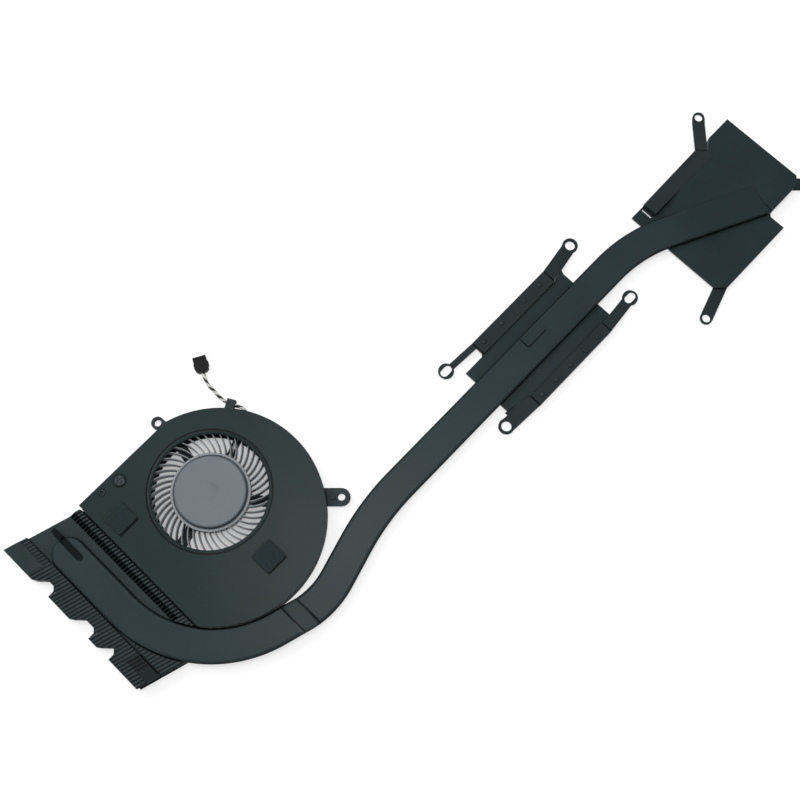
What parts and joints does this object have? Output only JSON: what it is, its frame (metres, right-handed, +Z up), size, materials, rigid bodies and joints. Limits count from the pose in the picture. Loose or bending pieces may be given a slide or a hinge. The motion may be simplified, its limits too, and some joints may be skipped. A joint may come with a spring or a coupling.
{
  "type": "laptop cooling fan heatsink",
  "caption": "Flat blower with a swept-blade impeller and a skewed fin stack, joined by one long flattened heat pipe to two cold plates with sprung screw arms.",
  "frame": {"origin": "on the blower's axis, at the underside of its base", "axes": "+X along the heat pipe's straight run towards the far cold plate, +Z up through the blower's cover"},
  "size_m": [0.2921, 0.12, 0.008],
  "materials": {
    "black_moulded_case": "satin",
    "black_coated_sheet": "satin",
    "zinc_plated_steel": "plated",
    "black_foam": "matt",
    "grey_moulded_blades": "satin",
    "pressed_steel": "pressed",
    "bonded_ferrite": "matt",
    "hardened_steel": "ground",
    "bearing_polymer": "matt",
    "sintered_bronze": "matt",
    "turned_brass": "turned",
    "laminated_steel": "laminated",
    "enamelled_copper": "enamelled",
    "green_laminate": "solder resist",
    "pvc_insulation": "satin",
    "black_nylon": "moulded",
    "tinned_bronze": "tinned",
    "black_coated_fins": "matt",
    "black_coated_copper": "satin",
    "black_coated_plate": "satin",
    "bare_copper": "machined",
    "black_coated_spring": "satin",
    "black_coated_rivet": "satin"
  },
  "bodies": {
    "module": {"fan_base": "black_moulded_case", "fan_cover": "black_coated_sheet", "cover_screw": "zinc_plated_steel", "cover_pads": "black_foam", "thrust_pad": "bearing_polymer", "bearing_sleeve": "sintered_bronze", "bearing_holder": "turned_brass", "stator_core": "laminated_steel", "stator_coils": "enamelled_copper", "motor_board": "green_laminate", "fan_lead": "pvc_insulation", "plug_housing": "black_nylon", "plug_contacts": "tinned_bronze", "fin_stack": "black_coated_fins", "heat_pipe": "black_coated_copper", "pipe_pad": "black_foam", "mid_plate": "black_coated_plate", "mid_slug": "bare_copper", "mid_rail_a": "black_coated_spring", "mid_rail_b": "black_coated_spring", "mid_rivets": "black_coated_rivet", "far_plate": "black_coated_plate", "far_slug": "bare_copper", "far_spring_a": "black_coated_spring", "far_spring_b": "black_coated_spring", "far_spring_c": "black_coated_spring"},
    "rotor": {"impeller": "grey_moulded_blades", "rotor_yoke": "pressed_steel", "magnet_ring": "bonded_ferrite", "shaft": "hardened_steel"}
  },
  "joints": [
    {"name": "impeller_spin", "type": "hinge", "parent": "module", "child": "rotor", "pos_m": [0, 0, 0], "axis": [0, 0, 1], "continuous": true}
  ]
}
